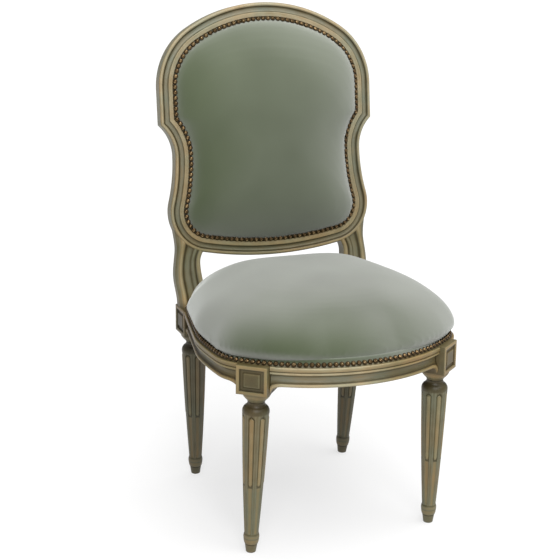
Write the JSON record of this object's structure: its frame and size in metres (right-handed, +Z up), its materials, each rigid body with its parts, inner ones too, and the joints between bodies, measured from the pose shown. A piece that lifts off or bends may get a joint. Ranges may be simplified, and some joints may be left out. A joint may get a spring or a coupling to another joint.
{
  "type": "upholstered side chair",
  "caption": "Painted wooden side chair with a waisted round-topped back, a domed velvet seat, fluted tapering legs and domed nails.",
  "frame": {"origin": "on the floor, in the middle of the chair's width and depth", "axes": "+X to the side, the front faces -Y, +Z up; the chair is the same left and right"},
  "size_m": [0.502, 0.5794, 1.0036],
  "materials": {
    "paint": "rubbed grey-green paint with cream beads",
    "velvet": "sage-green cotton velvet",
    "nail": "antique bronze",
    "jute": "woven jute",
    "stuffing": "hair and felt",
    "lining": "thin black lining cloth",
    "beech": "bare beech",
    "steel": "plain steel screws"
  },
  "bodies": {
    "root": {"front_rail": "paint", "side_rail_left": "paint", "side_rail_right": "paint", "rear_rail": "paint", "front_leg_left": "paint", "front_leg_right": "paint", "rear_leg_left": "paint", "rear_leg_right": "paint", "crest_rail": "paint", "back_stile_left": "paint", "back_stile_right": "paint", "back_bottom_rail": "paint", "brace_front_left": "beech", "brace_front_right": "beech", "brace_rear_left": "beech", "brace_rear_right": "beech", "brace_screws": "steel", "frame_dowels": "beech", "seat_webbing_across": "jute", "seat_webbing_along": "jute", "seat_hessian": "jute", "seat_stuffing": "stuffing", "seat_cover": "velvet", "seat_nails": "nail", "dust_cover": "lining", "back_webbing_across": "jute", "back_webbing_along": "jute", "back_hessian": "jute", "back_stuffing": "stuffing", "back_cover": "velvet", "back_nails": "nail", "outside_back_cover": "velvet", "outside_back_nails": "nail"}
  },
  "joints": []
}
